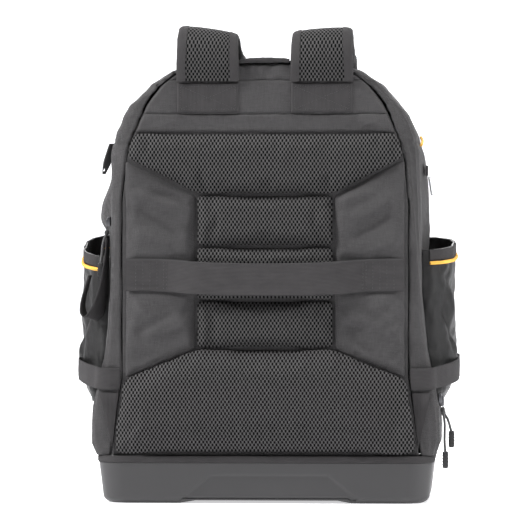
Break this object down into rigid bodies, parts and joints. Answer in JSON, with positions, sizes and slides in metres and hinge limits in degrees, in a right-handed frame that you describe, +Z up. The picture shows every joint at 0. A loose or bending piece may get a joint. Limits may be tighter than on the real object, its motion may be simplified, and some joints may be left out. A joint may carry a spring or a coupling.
{
  "type": "tool backpack",
  "caption": "Upright cloth tool backpack with a rigid moulded base, padded mesh back, luggage sleeve strap, shoulder straps over the top and open side pockets.",
  "frame": {"origin": "on the floor under the middle of the bag, between its feet", "axes": "+Z up, -Y out of the harness side that lies on the wearer's back, +X to the right when the harness side is seen"},
  "size_m": [0.437, 0.2581, 0.5404],
  "materials": {
    "moulded_base": "dark grey moulded plastic with a fine grain",
    "body_cloth": "dark grey woven polyester",
    "coated_cloth": "dark grey coated cloth with a slight sheen",
    "spacer_mesh": "dark grey spacer mesh with open holes",
    "webbing": "dark grey woven webbing",
    "binding": "dark grey bound edge tape",
    "zip_coil": "black zip tape and coil",
    "yellow_piping": "golden yellow piping",
    "pull_rubber": "black moulded rubber and cord",
    "buckle_plastic": "black moulded plastic",
    "ring_steel": "bright steel"
  },
  "bodies": {
    "root": {"base_tray": "moulded_base", "base_binding": "binding", "back_panel": "body_cloth", "back_gusset": "body_cloth", "main_zip": "zip_coil", "main_compartment": "body_cloth", "front_compartment": "body_cloth", "front_pocket": "body_cloth", "top_trim": "binding", "top_panel": "body_cloth", "yoke_band": "body_cloth", "lower_band": "body_cloth", "upper_pad": "spacer_mesh", "centre_pad_upper": "spacer_mesh", "centre_pad_middle": "spacer_mesh", "centre_pad_lower": "spacer_mesh", "lumbar_pad": "spacer_mesh", "luggage_strap": "webbing", "zip_pull_left": "pull_rubber", "zip_pull_right_inner": "pull_rubber", "zip_pull_right_outer": "pull_rubber", "upper_pull_tab": "pull_rubber", "ring_tab": "webbing", "tool_ring": "ring_steel", "accent_piping": "yellow_piping", "wing_left": "body_cloth", "strap_patch_left": "webbing", "shoulder_strap_left": "spacer_mesh", "ladder_lock_left": "buckle_plastic", "side_webbing_left": "webbing", "corner_tab_left": "webbing", "side_pocket_left": "coated_cloth", "pocket_binding_left": "binding", "pocket_piping_left": "yellow_piping", "wing_right": "body_cloth", "strap_patch_right": "webbing", "shoulder_strap_right": "spacer_mesh", "ladder_lock_right": "buckle_plastic", "side_webbing_right": "webbing", "corner_tab_right": "webbing", "side_pocket_right": "coated_cloth", "pocket_binding_right": "binding", "pocket_piping_right": "yellow_piping"}
  },
  "joints": []
}
